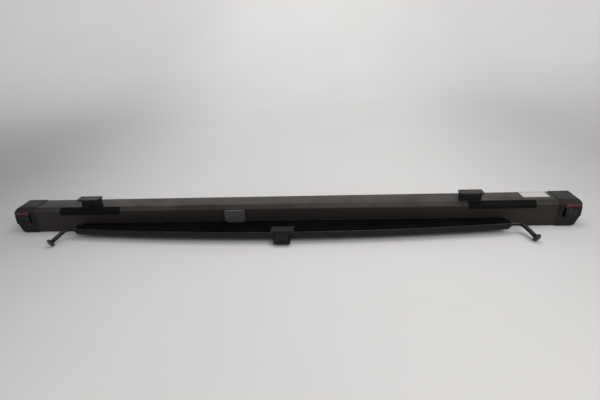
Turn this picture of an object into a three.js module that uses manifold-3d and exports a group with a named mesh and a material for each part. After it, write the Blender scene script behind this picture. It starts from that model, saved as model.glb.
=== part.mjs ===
// Retractable partition-net cassette for an estate car's luggage space.
// X runs along the cassette. -Y is the way the net pulls out. +Z is the side with the two seat hooks.
// The origin is at the middle of the flat underside.
import * as THREE from "three";
import { mergeVertices } from "three/addons/utils/BufferGeometryUtils.js";
import Module from "manifold-3d";

const wasm = await Module();
wasm.setup();

// ---- Driving dimensions, in millimetres ----
const FIT = 0.3; // gap between pieces that touch
const CASSETTE_LENGTH = 1120;
const CAP_LENGTH = 42;

// The housing is an extruded channel with a net slit along its front wall.
const SECTION_DEPTH = 50;
const SECTION_HEIGHT = 52;
const WALL = 1.8;
const CHAMFER_DEPTH = 9;
const CHAMFER_DROP = 6.5;
const CORNER_RADIUS = 4;
const SLIT_BOTTOM = 16.9;
const SLIT_HEIGHT = 3;

// End caps stand a little proud of the housing and plug into it.
const CAP_PROUD = 1.2;
const CAP_WALL = 2.2;
const SPIGOT_LENGTH = 12;
const CAP_FOOT_HEIGHT = 22;
const CAP_FOOT_INSET = 9;
const CAP_EDGE_BEVEL = 4;
const CAP_SCREW_INSET = 14;

// A sprung slider in each cap locks the cassette to the car's side trim.
const SLIDER_LENGTH = 27;
const SLIDER_BOTTOM = 20;
const SLIDER_TOP_DROP = 12.5;
const SLIDER_REACH = 30;
const SLIDER_TRAVEL = 5.5;
const SLIDER_PROUD = 0.8;
const INDICATOR_HEIGHT = 5;
const INDICATOR_LENGTH = 24;
const GUIDE_PLATE_LENGTH = 33;

// Two hooks hang the cassette on the backs of the rear seats.
const HOOK_FROM_END = { left: 161, right: 205 };
const HOOK_WIDTH = 44;
const HOOK_STEEL = 3.4;
const FOOT_THICKNESS = 2.2;
const HOOK_RISE = 20;
const HOOK_WEB_SETBACK = 4;
const HOOK_LIP_FRONT = 14;
const HOOK_LIP_BACK = 3.5;
const RIVET_SPACING = 28;

// Rubber guards lie over the front top edge.
const GUARD_FROM_END = { left: 158.5, right: 146 };
const GUARD_LENGTH = 126;
const GUARD_THICKNESS = 1;
const GUARD_DROP = 13;

// The net winds on a sprung tube.
const ROLLER_Y = 2.5;
const ROLLER_END_GAP = 11.7;
const TUBE_OUTER = 12;
const TUBE_INNER = 10.2;
const ARBOR_RADIUS = 4;
const ARBOR_LENGTH = 172;
const SPRING_TURNS = 22;
const BEARING_THICKNESS = 4;
const NET_ROLL_CLEARANCE = 2.4;
const NET_END_GAP = 70;
const NET_SIDE_GAP = 2;

// The bar that the net pulls on is bowed forward in the middle.
const BAR_BOW = 25;
const BAR_SIDE_WALL = 3.7;
const BAR_TOP_WALL = 0.6;
const BAR_HEIGHT = 12.4;
const BAR_GAP = 17;
const BAR_EDGE = 1.4;
const HEM_THICKNESS = 1.4;
const HEM_SETBACK = 2.4;

// A sprung rod with a mushroom head reaches out of each end of the bar.
const ROD_RADIUS = 4;
const ROD_IN_BAR = 36;
const ROD_REACH = 22;
const ROD_DROP = 9.6;
const ROD_BEND = 9;
const ROD_ARM = 36;
const ROD_SPLAY = 12;
const ROD_SPRING_LENGTH = 30;
const HEAD_RADIUS = 8.4;
const HEAD_THICKNESS = 3;
const HEAD_ABOVE_TABLE = 0.6;

// Pull handle at the middle of the bar, and the release tab on the housing's front.
const HANDLE_X = -5;
const HANDLE_WIDTH = 32;
const HANDLE_NECK = 24;
const HANDLE_REACH = 13;
const HANDLE_LOW = 4.6;
const CLIP_WIDTH = 42;
const CLIP_THICKNESS = 1.8;
const TAB_X = -103;
const TAB_WIDTH = 40;
const TAB_THICKNESS = 4;
const TAB_TRAVEL = 2.5;

const LABEL_FROM_SEAM = 34;
const LABEL_FROM_BACK = 17.5;
const LABEL_SIZE = { length: 50, width: 25, thickness: 0.4 };

// ---- Places worked out from the driving dimensions ----
const HALF_LENGTH = CASSETTE_LENGTH / 2;
const HALF_DEPTH = SECTION_DEPTH / 2;
const CHAMFER_Z = SECTION_HEIGHT - CHAMFER_DROP;
const CAP_START = HALF_LENGTH - CAP_LENGTH;
const CAP_SCREW_HEIGHTS = [CAP_SCREW_INSET, SECTION_HEIGHT - CAP_SCREW_INSET];
const SPIGOT_END = CAP_START - SPIGOT_LENGTH;
const BEARING_X = SPIGOT_END - FIT - BEARING_THICKNESS;
const TUBE_END = BEARING_X - ROLLER_END_GAP;
const TUBE_LENGTH = 2 * TUBE_END;
const NET_WIDTH = 2 * (TUBE_END - NET_END_GAP);
const BAR_HALF = NET_WIDTH / 2 + NET_SIDE_GAP;
const BAR_DEPTH = 2 * (ROD_RADIUS + FIT + BAR_SIDE_WALL);
const BAR_END_FRONT = HALF_DEPTH + BAR_GAP + BAR_DEPTH;
const ROD_Y = -BAR_END_FRONT + BAR_DEPTH / 2;
const ROD_Z = HEAD_RADIUS + HEAD_ABOVE_TABLE + ROD_DROP;
const BAR_TOP = ROD_Z + ROD_RADIUS + FIT + BAR_TOP_WALL;
const BAR_BOTTOM = BAR_TOP - BAR_HEIGHT;
const BAR_RADIUS = (BAR_HALF ** 2 + BAR_BOW ** 2) / (2 * BAR_BOW);
const SLIT_TOP = SLIT_BOTTOM + SLIT_HEIGHT;
const SLIT_HALF = NET_WIDTH / 2 + 4;
const ROLLER_Z = SECTION_HEIGHT / 2;
const HOOK_WEB_Y = -HALF_DEPTH + CHAMFER_DEPTH + HOOK_WEB_SETBACK;
const FOOT_TOP = SECTION_HEIGHT - WALL - FIT;
const FOOT_BOTTOM = FOOT_TOP - FOOT_THICKNESS;
const RIVET_TAIL = FOOT_BOTTOM - FIT - 1;
const NET_ROLL_RADIUS =
  Math.min(HALF_DEPTH - WALL - ROLLER_Y, RIVET_TAIL - ROLLER_Z) - NET_ROLL_CLEARANCE;
const TAB_BOTTOM = SLIT_TOP + 0.6;
const TAB_TOP = CHAMFER_Z + FIT;
const HOOK_X = { left: HOOK_FROM_END.left - HALF_LENGTH, right: HALF_LENGTH - HOOK_FROM_END.right };
const GUARD_X = { left: GUARD_FROM_END.left - HALF_LENGTH, right: HALF_LENGTH - GUARD_FROM_END.right };
const LABEL_X = CAP_START - LABEL_FROM_SEAM;
const LABEL_Y = HALF_DEPTH - LABEL_FROM_BACK;

// ---- Materials ----
const finish = (color, roughness, metalness = 0) =>
  new THREE.MeshStandardMaterial({ color, roughness, metalness });
const anodised = () => finish(0x38322f, 0.45, 0.5);
const blackPlastic = () => finish(0x202020, 0.6);
const greyPlastic = () => finish(0x46474a, 0.6);
const redPlastic = () => finish(0xa81f30, 0.45);
const blackSteel = () => finish(0x2b2b2d, 0.5, 0.6);
const zincSteel = () => finish(0x9a9a96, 0.35, 0.9);
const rubber = () => finish(0x121212, 0.9);
const netting = () => finish(0x141414, 0.95);
const paper = () => finish(0xe4e1dc, 0.7);

// ---- Helpers for shapes ----
const cassette = new THREE.Group();

function place(name, geometry, material) {
  const mesh = new THREE.Mesh(geometry, material);
  mesh.name = name;
  cassette.add(mesh);
  return mesh;
}

// Corners are [u, v, radius]; a corner with no radius stays sharp.
function outline(corners) {
  const shape = new THREE.Shape();
  const points = corners.map(([u, v]) => new THREE.Vector2(u, v));
  corners.forEach(([, , radius = 0], i) => {
    const here = points[i];
    const before = points[(i + points.length - 1) % points.length];
    const after = points[(i + 1) % points.length];
    const toBefore = before.clone().sub(here).setLength(radius);
    const toAfter = after.clone().sub(here).setLength(radius);
    const start = here.clone().add(toBefore);
    if (i === 0) shape.moveTo(start.x, start.y);
    else shape.lineTo(start.x, start.y);
    if (radius > 0) {
      shape.quadraticCurveTo(here.x, here.y, here.x + toAfter.x, here.y + toAfter.y);
    }
  });
  shape.closePath();
  return shape;
}

const BASIS = {
  // an outline in (y, z) pulled along +X
  x: [new THREE.Vector3(0, 1, 0), new THREE.Vector3(0, 0, 1), new THREE.Vector3(1, 0, 0)],
  // an outline in (x, z) pulled along -Y
  y: [new THREE.Vector3(1, 0, 0), new THREE.Vector3(0, 0, 1), new THREE.Vector3(0, -1, 0)],
  // an outline in (x, y) pulled along +Z
  z: [new THREE.Vector3(1, 0, 0), new THREE.Vector3(0, 1, 0), new THREE.Vector3(0, 0, 1)],
};

// Extrudes a shape along an axis, from one place to another.
function extrude(shape, axis, from, to, curveSegments = 4) {
  const depth = Math.abs(to - from);
  const geometry = new THREE.ExtrudeGeometry(shape, { depth, bevelEnabled: false, curveSegments });
  geometry.applyMatrix4(new THREE.Matrix4().makeBasis(...BASIS[axis]));
  if (axis === "x") geometry.translate(Math.min(from, to), 0, 0);
  if (axis === "y") geometry.translate(0, Math.max(from, to), 0);
  if (axis === "z") geometry.translate(0, 0, Math.min(from, to));
  return geometry;
}

function box(x0, x1, y0, y1, z0, z1) {
  const geometry = new THREE.BoxGeometry(x1 - x0, y1 - y0, z1 - z0);
  return geometry.translate((x0 + x1) / 2, (y0 + y1) / 2, (z0 + z1) / 2);
}

// A turned piece: the profile is [radius, place along the axis], and the axis starts at `at`.
function turned(profile, axis, at, segments = 20) {
  const points = profile.map(([radius, along]) => new THREE.Vector2(radius, along));
  const geometry = new THREE.LatheGeometry(points, segments);
  if (axis === "x") geometry.rotateZ(-Math.PI / 2);
  if (axis === "-x") geometry.rotateZ(Math.PI / 2);
  if (axis === "-y") geometry.rotateX(Math.PI);
  if (axis === "z") geometry.rotateX(Math.PI / 2);
  return geometry.translate(...at);
}

const rodProfile = (radius, length) => [
  [0, 0],
  [radius, 0],
  [radius, length],
  [0, length],
];
const ringProfile = (inner, outer, length) => [
  [inner, 0],
  [outer, 0],
  [outer, length],
  [inner, length],
  [inner, 0],
];

function solidOf(geometry) {
  const bare = geometry.clone();
  bare.deleteAttribute("normal");
  bare.deleteAttribute("uv");
  const merged = mergeVertices(bare, 1e-4);
  return new wasm.Manifold(
    new wasm.Mesh({
      numProp: 3,
      vertProperties: new Float32Array(merged.attributes.position.array),
      triVerts: new Uint32Array(merged.index.array),
    }),
  );
}

function geometryOf(solid) {
  const mesh = solid.getMesh();
  const geometry = new THREE.BufferGeometry();
  geometry.setAttribute("position", new THREE.BufferAttribute(mesh.vertProperties, 3));
  geometry.setIndex(new THREE.BufferAttribute(mesh.triVerts, 1));
  return geometry;
}

const join = (first, ...rest) =>
  geometryOf(rest.reduce((sum, next) => sum.add(solidOf(next)), solidOf(first)));
const cut = (first, ...rest) =>
  geometryOf(rest.reduce((left, next) => left.subtract(solidOf(next)), solidOf(first)));
const common = (first, second) => geometryOf(solidOf(first).intersect(solidOf(second)));

// Pieces made for the right end are mirrored for the left end.
function mirrored(geometry) {
  const copy = geometry.clone().applyMatrix4(new THREE.Matrix4().makeScale(-1, 1, 1));
  const flat = copy.index ? copy.toNonIndexed() : copy;
  const p = flat.attributes.position;
  for (let i = 0; i < p.count; i += 3) {
    const [x, y, z] = [p.getX(i), p.getY(i), p.getZ(i)];
    p.setXYZ(i, p.getX(i + 1), p.getY(i + 1), p.getZ(i + 1));
    p.setXYZ(i + 1, x, y, z);
  }
  const bare = new THREE.BufferGeometry().setAttribute("position", p);
  return mergeVertices(bare, 1e-4);
}

function placeBoth(name, geometry, material) {
  place("right_" + name, geometry, material());
  place("left_" + name, mirrored(geometry), material());
}

function coil(radius, wire, length, turns, stepsPerTurn = 9) {
  class Helix extends THREE.Curve {
    getPoint(t, target = new THREE.Vector3()) {
      const angle = t * turns * 2 * Math.PI;
      return target.set(t * length, radius * Math.cos(angle), radius * Math.sin(angle));
    }
  }
  const wireShape = outline([
    [-wire / 2, -wire / 2],
    [wire / 2, -wire / 2],
    [wire / 2, wire / 2],
    [-wire / 2, wire / 2],
  ]);
  const steps = Math.round(turns * stepsPerTurn);
  return new THREE.ExtrudeGeometry(wireShape, { steps, extrudePath: new Helix() });
}

// ---- Housing ----
// The section grows by `grow` on every side, and its corners follow.
function housingSection(grow, floor = grow) {
  const side = HALF_DEPTH + grow;
  const top = SECTION_HEIGHT + grow;
  const shift = grow * (Math.hypot(CHAMFER_DEPTH, CHAMFER_DROP) - CHAMFER_DEPTH) / CHAMFER_DROP;
  const chamferY = -HALF_DEPTH + CHAMFER_DEPTH + (grow - shift) / 2;
  const chamferZ = SECTION_HEIGHT - CHAMFER_DROP + (grow - shift) / 2;
  const radius = Math.max(CORNER_RADIUS + grow, 0.6);
  return outline([
    [-side, -floor, radius],
    [side, -floor, radius],
    [side, top, radius],
    [chamferY, top, 1.2],
    [-side, chamferZ, 1.2],
  ]);
}

const innerSection = (clearance) => housingSection(-WALL - clearance);

const hookSlot = (x) =>
  box(
    x - HOOK_WIDTH / 2 - FIT,
    x + HOOK_WIDTH / 2 + FIT,
    HOOK_WEB_Y - HOOK_STEEL / 2 - FIT,
    HOOK_WEB_Y + HOOK_STEEL / 2 + FIT,
    SECTION_HEIGHT - 2 * WALL,
    SECTION_HEIGHT + WALL,
  );

const RIVET_SHANK = 2;
const RIVET_Y = HOOK_WEB_Y + 9.5;
const rivetPlaces = (x) => [x - RIVET_SPACING / 2, x + RIVET_SPACING / 2];
const rivetHole = (x) =>
  turned(rodProfile(RIVET_SHANK + FIT, 14), "z", [x, RIVET_Y, SECTION_HEIGHT - 10], 12);

const SCREW_SHANK = 1.6;
const CAP_SCREW_X = CAP_START - SPIGOT_LENGTH / 2;
const capScrewHole = (side, z, radius) =>
  turned(rodProfile(radius, 12), "-y", [side * CAP_SCREW_X, HALF_DEPTH + 1, z], 12);

const TAB_STEM = { width: 14, bottom: TAB_TOP - 7.9, height: 6, depth: 6 };
const tabWindow = box(
  TAB_X - TAB_STEM.width / 2 - FIT,
  TAB_X + TAB_STEM.width / 2 + FIT,
  -HALF_DEPTH - 1,
  -HALF_DEPTH + WALL + 1,
  TAB_STEM.bottom - FIT,
  TAB_STEM.bottom + TAB_STEM.height + FIT,
);

const housingCuts = [
  extrude(innerSection(0), "x", -HALF_LENGTH, HALF_LENGTH),
  box(-SLIT_HALF, SLIT_HALF, -HALF_DEPTH - 1, -HALF_DEPTH + WALL + 1, SLIT_BOTTOM, SLIT_TOP),
  tabWindow,
];
for (const x of Object.values(HOOK_X)) {
  housingCuts.push(hookSlot(x), ...rivetPlaces(x).map(rivetHole));
}
for (const side of [-1, 1]) {
  for (const z of CAP_SCREW_HEIGHTS) housingCuts.push(capScrewHole(side, z, SCREW_SHANK + FIT));
}
const housingBlank = extrude(housingSection(0, 0), "x", -CAP_START + FIT, CAP_START - FIT);
place("housing_profile", cut(housingBlank, ...housingCuts), anodised());

// ---- End caps with their locking sliders ----
const SLIDER_INNER = HALF_LENGTH - SLIDER_LENGTH;
const SLIDER_TOP = SECTION_HEIGHT - SLIDER_TOP_DROP;
const CAP_FRONT = -HALF_DEPTH - CAP_PROUD;
const INDICATOR_BOTTOM = SLIDER_TOP + 1.2;

// Side outline of the right cap: bevelled above, drawn in towards the foot.
const capSide = (grow) =>
  outline([
    [SPIGOT_END - 1, -grow],
    [HALF_LENGTH - CAP_FOOT_INSET + grow, -grow, 1.5],
    [HALF_LENGTH + grow, CAP_FOOT_HEIGHT, 3],
    [HALF_LENGTH + grow, SECTION_HEIGHT + CAP_PROUD + grow - CAP_EDGE_BEVEL, 2],
    [HALF_LENGTH + grow - CAP_EDGE_BEVEL, SECTION_HEIGHT + CAP_PROUD + grow, 2],
    [SPIGOT_END - 1, SECTION_HEIGHT + CAP_PROUD + grow],
  ]);
const capBlock = common(
  extrude(housingSection(CAP_PROUD, 0), "x", CAP_START, HALF_LENGTH),
  extrude(capSide(0), "y", -SECTION_DEPTH, SECTION_DEPTH),
);
const capHollow = common(
  extrude(innerSection(CAP_WALL), "x", SPIGOT_END - 1, HALF_LENGTH),
  extrude(capSide(-CAP_WALL), "y", -SECTION_DEPTH, SECTION_DEPTH),
);
const spigot = extrude(innerSection(FIT), "x", SPIGOT_END, CAP_START + CAP_WALL);
const sliderWindow = box(
  SLIDER_INNER - SLIDER_TRAVEL - FIT,
  HALF_LENGTH + 5,
  -SECTION_DEPTH,
  CAP_FRONT + SLIDER_REACH + FIT,
  SLIDER_BOTTOM - FIT,
  SLIDER_TOP + FIT,
);
const indicatorBox = (gap, depth) =>
  box(
    HALF_LENGTH - 3.5 - INDICATOR_LENGTH - gap,
    HALF_LENGTH - 3.5 + gap,
    CAP_FRONT - 1 + (gap > 0 ? -2 : 0.8),
    CAP_FRONT + depth,
    INDICATOR_BOTTOM - gap,
    INDICATOR_BOTTOM + INDICATOR_HEIGHT + gap,
  );
const guidePlateBox = (gap, proud, depth) =>
  box(
    CAP_START + 1 - gap,
    CAP_START + 1 + GUIDE_PLATE_LENGTH + gap - 3,
    CAP_FRONT - proud,
    CAP_FRONT + depth,
    1.2 - gap,
    SLIDER_BOTTOM - 2.4 + gap,
  );
const endCap = cut(
  join(capBlock, spigot),
  capHollow,
  sliderWindow,
  indicatorBox(FIT, 1.2),
  guidePlateBox(FIT, 3, 1.2),
  ...CAP_SCREW_HEIGHTS.map((z) => capScrewHole(1, z, SCREW_SHANK + FIT)),
);
placeBoth("end_cap", endCap, blackPlastic);
placeBoth("lock_indicator", indicatorBox(0, 1.2 - FIT), redPlastic);
placeBoth("guide_plate", guidePlateBox(0, 0.5, 1.2 - FIT), greyPlastic);

// The slider's thumb face has grip ribs, and its stem carries the spring.
const STEM_RADIUS = 2.4;
const STEM_LENGTH = 9;
const SLIDER_MIDDLE_Z = (SLIDER_BOTTOM + SLIDER_TOP) / 2;
const SLIDER_STEM_Y = CAP_FRONT + SLIDER_REACH / 2;
const sliderBlock = common(
  box(
    SLIDER_INNER,
    HALF_LENGTH + SLIDER_PROUD,
    CAP_FRONT - SLIDER_PROUD,
    CAP_FRONT + SLIDER_REACH,
    SLIDER_BOTTOM,
    SLIDER_TOP,
  ),
  extrude(capSide(SLIDER_PROUD), "y", -SECTION_DEPTH, SECTION_DEPTH),
);
const gripGroove = (x) =>
  box(x - 0.7, x + 0.7, CAP_FRONT - 2, CAP_FRONT, SLIDER_BOTTOM + 3, SLIDER_TOP - 3);
const sliderStem = turned(
  rodProfile(STEM_RADIUS, STEM_LENGTH + 1),
  "x",
  [SLIDER_INNER - STEM_LENGTH, SLIDER_STEM_Y, SLIDER_MIDDLE_Z],
  14,
);
const grooves = [0, 1, 2, 3].map((i) => gripGroove(SLIDER_INNER + 6 + 4 * i));
placeBoth("lock_slider", cut(join(sliderBlock, sliderStem), ...grooves), greyPlastic);

const SLIDER_SPRING_LENGTH = SLIDER_INNER - SPIGOT_END - 2 * FIT;
const sliderSpring = coil(STEM_RADIUS + 1.3, 0.9, SLIDER_SPRING_LENGTH - 1.2, 6).translate(
  SPIGOT_END + FIT + 0.6,
  SLIDER_STEM_Y,
  SLIDER_MIDDLE_Z,
);
placeBoth("lock_spring", sliderSpring, zincSteel);

// Self-tapping screws hold each cap through the housing's back wall.
const SCREW_HEAD = { radius: 3.1, height: 1.6 };
const screwProfile = [
  [0, 0],
  [SCREW_HEAD.radius * 0.7, 0],
  [SCREW_HEAD.radius, SCREW_HEAD.height * 0.5],
  [SCREW_HEAD.radius, SCREW_HEAD.height],
  [SCREW_SHANK, SCREW_HEAD.height],
  [SCREW_SHANK, SCREW_HEAD.height + 6],
  [0, SCREW_HEAD.height + 7],
];
CAP_SCREW_HEIGHTS.forEach((z, i) => {
  const y = HALF_DEPTH + FIT + SCREW_HEAD.height;
  const screw = turned(screwProfile, "-y", [CAP_SCREW_X, y, z], 12);
  placeBoth("cap_screw_" + (i + 1), screw, zincSteel);
});

// ---- Roller, with its fixed arbor and winding spring ----
const PLUG_LENGTH = 18;
const rollerAt = (x) => [x, ROLLER_Y, ROLLER_Z];
const bearingPlate = cut(
  extrude(innerSection(FIT), "x", BEARING_X, BEARING_X + BEARING_THICKNESS),
  turned(rodProfile(ARBOR_RADIUS + FIT, 20), "x", rollerAt(BEARING_X - 8), 24),
);
placeBoth("bearing_plate", bearingPlate, blackPlastic);

const tube = turned(ringProfile(TUBE_INNER, TUBE_OUTER, TUBE_LENGTH), "x", rollerAt(-TUBE_END), 28);
place("roller_tube", tube, zincSteel());
const plugRadius = TUBE_INNER - FIT;
const drivePlug = turned(
  ringProfile(ARBOR_RADIUS + FIT, plugRadius, PLUG_LENGTH),
  "x",
  rollerAt(-TUBE_END + 1),
  24,
);
place("roller_bush", drivePlug, blackPlastic());
const axlePlug = turned(
  [
    [0, 0],
    [plugRadius, 0],
    [plugRadius, PLUG_LENGTH],
    [ARBOR_RADIUS, PLUG_LENGTH],
    [ARBOR_RADIUS, PLUG_LENGTH + BEARING_X + BEARING_THICKNESS - TUBE_END],
    [0, PLUG_LENGTH + BEARING_X + BEARING_THICKNESS - TUBE_END],
  ],
  "x",
  rollerAt(TUBE_END - PLUG_LENGTH),
  24,
);
place("roller_axle", axlePlug, blackPlastic());

const ARBOR_START = -BEARING_X - BEARING_THICKNESS;
const ARBOR_COLLAR = { radius: 8, length: 8 };
const arbor = turned(
  [
    [0, 0],
    [ARBOR_RADIUS, 0],
    [ARBOR_RADIUS, ARBOR_LENGTH],
    [ARBOR_COLLAR.radius, ARBOR_LENGTH],
    [ARBOR_COLLAR.radius, ARBOR_LENGTH + ARBOR_COLLAR.length],
    [0, ARBOR_LENGTH + ARBOR_COLLAR.length],
  ],
  "x",
  rollerAt(ARBOR_START),
  24,
);
place("spring_arbor", arbor, blackSteel());
const WINDING_SPRING_START = -TUBE_END + 1 + PLUG_LENGTH + 1;
const windingSpring = coil(
  (ARBOR_RADIUS + TUBE_INNER) / 2,
  1.4,
  ARBOR_START + ARBOR_LENGTH - 2 - WINDING_SPRING_START,
  SPRING_TURNS,
).translate(...rollerAt(WINDING_SPRING_START + 0.5));
place("winding_spring", windingSpring, zincSteel());
place(
  "net_roll",
  turned(ringProfile(TUBE_OUTER + FIT, NET_ROLL_RADIUS, NET_WIDTH), "x", rollerAt(-NET_WIDTH / 2), 28),
  netting(),
);

// ---- Hooks, riveted under the top wall ----
const PLATE_TOP = SECTION_HEIGHT + HOOK_RISE;
const WEB_FRONT = HOOK_WEB_Y - HOOK_STEEL / 2;
const WEB_BACK = HOOK_WEB_Y + HOOK_STEEL / 2;
const FOOT_BACK = RIVET_Y + 6;
const hookSection = outline([
  [WEB_FRONT, FOOT_BOTTOM],
  [FOOT_BACK, FOOT_BOTTOM, 0.8],
  [FOOT_BACK, FOOT_TOP, 0.8],
  [WEB_BACK, FOOT_TOP],
  [WEB_BACK, PLATE_TOP - HOOK_STEEL],
  [WEB_BACK + HOOK_LIP_BACK, PLATE_TOP - HOOK_STEEL, 1],
  [WEB_BACK + HOOK_LIP_BACK, PLATE_TOP, 1],
  [WEB_FRONT - HOOK_LIP_FRONT, PLATE_TOP, 1.6],
  [WEB_FRONT - HOOK_LIP_FRONT, PLATE_TOP - HOOK_STEEL, 1.6],
  [WEB_FRONT, PLATE_TOP - HOOK_STEEL],
]);
// The plate's front corners are rounded in plan.
const hookPlan = (x) =>
  outline([
    [x - HOOK_WIDTH / 2, FOOT_BACK + 1],
    [x - HOOK_WIDTH / 2, WEB_FRONT - HOOK_LIP_FRONT, 5],
    [x + HOOK_WIDTH / 2, WEB_FRONT - HOOK_LIP_FRONT, 5],
    [x + HOOK_WIDTH / 2, FOOT_BACK + 1],
  ]);
const DIMPLE_OFFSET = 16.5;
function hook(x) {
  const bent = extrude(hookSection, "x", x - HOOK_WIDTH / 2, x + HOOK_WIDTH / 2);
  const trimmed = common(bent, extrude(hookPlan(x), "z", 0, PLATE_TOP + 1));
  const dimples = [-DIMPLE_OFFSET, DIMPLE_OFFSET].map((dx) =>
    turned(rodProfile(1.7, 3), "z", [x + dx, HOOK_WEB_Y, PLATE_TOP - 1.2], 12),
  );
  return cut(trimmed, ...dimples, ...rivetPlaces(x).map(rivetHole));
}

const RIVET_HEAD = { radius: 3.6, height: 1.6 };
const RIVET_SEAT = SECTION_HEIGHT + FIT - RIVET_TAIL;
const rivetProfile = [
  [0, 0],
  [RIVET_SHANK + 1, 0],
  [RIVET_SHANK + 1, 1],
  [RIVET_SHANK, 1],
  [RIVET_SHANK, RIVET_SEAT],
  [RIVET_HEAD.radius, RIVET_SEAT],
  [RIVET_HEAD.radius * 0.6, RIVET_SEAT + RIVET_HEAD.height],
  [0, RIVET_SEAT + RIVET_HEAD.height],
];
for (const [side, x] of Object.entries(HOOK_X)) {
  place(side + "_hook", hook(x), blackSteel());
  rivetPlaces(x).forEach((rivetX, i) => {
    const from = [rivetX, RIVET_Y, RIVET_TAIL];
    place(side + "_hook_rivet_" + (i + 1), turned(rivetProfile, "z", from, 12), zincSteel());
  });
}

// ---- Rubber guards over the front top edge ----
const GUARD_BACK = -HALF_DEPTH + CHAMFER_DEPTH - 1;
const guardOuter = common(
  extrude(housingSection(FIT + GUARD_THICKNESS), "x", -1, 1),
  box(-1, 1, -SECTION_DEPTH, GUARD_BACK, SECTION_HEIGHT - GUARD_DROP, SECTION_HEIGHT * 2),
);
const guardSlice = cut(guardOuter, extrude(housingSection(FIT), "x", -2, 2));
for (const [side, x] of Object.entries(GUARD_X)) {
  const guard = guardSlice.clone().scale(GUARD_LENGTH / 2, 1, 1).translate(x, 0, 0);
  place(side + "_edge_guard", guard, rubber());
}

const labelPlan = outline([
  [LABEL_X - LABEL_SIZE.length / 2, LABEL_Y - LABEL_SIZE.width / 2, 2],
  [LABEL_X + LABEL_SIZE.length / 2, LABEL_Y - LABEL_SIZE.width / 2, 2],
  [LABEL_X + LABEL_SIZE.length / 2, LABEL_Y + LABEL_SIZE.width / 2, 2],
  [LABEL_X - LABEL_SIZE.length / 2, LABEL_Y + LABEL_SIZE.width / 2, 2],
]);
const LABEL_SEAT = SECTION_HEIGHT + FIT;
place("blank_label", extrude(labelPlan, "z", LABEL_SEAT, LABEL_SEAT + LABEL_SIZE.thickness), paper());

// ---- Release tab on the front, pressed in to free the net ----
const TAB_BACK = -HALF_DEPTH - FIT - TAB_TRAVEL;
const TAB_FRONT = TAB_BACK - TAB_THICKNESS;
const tabFace = extrude(
  outline([
    [TAB_X - TAB_WIDTH / 2, TAB_BOTTOM, 6],
    [TAB_X + TAB_WIDTH / 2, TAB_BOTTOM, 6],
    [TAB_X + TAB_WIDTH / 2, TAB_TOP, 2],
    [TAB_X - TAB_WIDTH / 2, TAB_TOP, 2],
  ]),
  "y",
  TAB_BACK,
  TAB_FRONT,
);
const tabStem = box(
  TAB_X - TAB_STEM.width / 2,
  TAB_X + TAB_STEM.width / 2,
  TAB_BACK - 1,
  -HALF_DEPTH + TAB_STEM.depth,
  TAB_STEM.bottom,
  TAB_STEM.bottom + TAB_STEM.height,
);
// An arched groove and a round dimple mark where to press.
const ARCH_RADIUS = 34;
const ARCH_HALF = TAB_WIDTH / 2 - 4;
const archCentreZ = TAB_TOP - 9 - ARCH_RADIUS;
const archLine = (radius) =>
  Array.from({ length: 13 }, (_, i) => {
    const dx = ARCH_HALF * (i / 6 - 1);
    return new THREE.Vector2(TAB_X + dx, archCentreZ + Math.sqrt(radius ** 2 - dx ** 2));
  });
const tabArch = extrude(
  new THREE.Shape([...archLine(ARCH_RADIUS), ...archLine(ARCH_RADIUS + 1.2).reverse()]),
  "y",
  TAB_FRONT + 1,
  TAB_FRONT - 1,
);
const tabDimple = turned(rodProfile(1.2, 2), "-y", [TAB_X - 3.5, TAB_FRONT + 0.8, TAB_BOTTOM + 5.5], 12);
place("release_tab", cut(join(tabFace, tabStem), tabArch, tabDimple), greyPlastic());
const tabSpring = coil(2.6, 0.8, 5, 4)
  .rotateZ(Math.PI / 2)
  .translate(TAB_X, -HALF_DEPTH + TAB_STEM.depth + 0.8, TAB_STEM.bottom + TAB_STEM.height / 2);
place("release_spring", tabSpring, zincSteel());
const SPRING_STOP_Y = -HALF_DEPTH + TAB_STEM.depth + 0.8 + 5 + 0.8;
const springStop = join(
  box(
    TAB_X - 9,
    TAB_X + 9,
    SPRING_STOP_Y,
    SPRING_STOP_Y + 1.4,
    TAB_STEM.bottom + 1,
    FOOT_TOP - 1.4,
  ),
  box(TAB_X - 9, TAB_X + 9, -HALF_DEPTH + CHAMFER_DEPTH + 2, SPRING_STOP_Y + 1.4, FOOT_TOP - 1.4, FOOT_TOP),
);
place("spring_bracket", springStop, blackSteel());

// ---- Net bar, bowed in plan ----
// The bar's lines are arcs about one far centre; `inset` is measured back from its front face.
const BAR_STEPS = 28;
function barLine(inset, halfLength) {
  const radius = BAR_RADIUS - inset;
  const centreY = -BAR_END_FRONT - BAR_BOW + BAR_RADIUS;
  return Array.from({ length: BAR_STEPS + 1 }, (_, i) => {
    const x = -halfLength + (2 * halfLength * i) / BAR_STEPS;
    return new THREE.Vector2(x, centreY - Math.sqrt(radius ** 2 - x ** 2));
  });
}

function barBlank() {
  const front = barLine(BAR_EDGE, BAR_HALF - BAR_EDGE);
  const back = barLine(BAR_DEPTH - BAR_EDGE, BAR_HALF - BAR_EDGE).reverse();
  const geometry = new THREE.ExtrudeGeometry(new THREE.Shape([...front, ...back]), {
    depth: BAR_HEIGHT - 2 * BAR_EDGE,
    bevelThickness: BAR_EDGE,
    bevelSize: BAR_EDGE,
    bevelSegments: 2,
  });
  return geometry.translate(0, 0, BAR_BOTTOM + BAR_EDGE);
}

const ROD_BORE = ROD_RADIUS + FIT;
const BORE_LENGTH = ROD_IN_BAR + ROD_SPRING_LENGTH + 2 * FIT;
const rodBore = (side) => {
  const start = side > 0 ? BAR_HALF - BORE_LENGTH : -BAR_HALF - 2;
  return turned(rodProfile(ROD_BORE, BORE_LENGTH + 2), "x", [start, ROD_Y, ROD_Z], 20);
};
place("net_bar", cut(barBlank(), rodBore(1), rodBore(-1)), blackPlastic());

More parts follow.
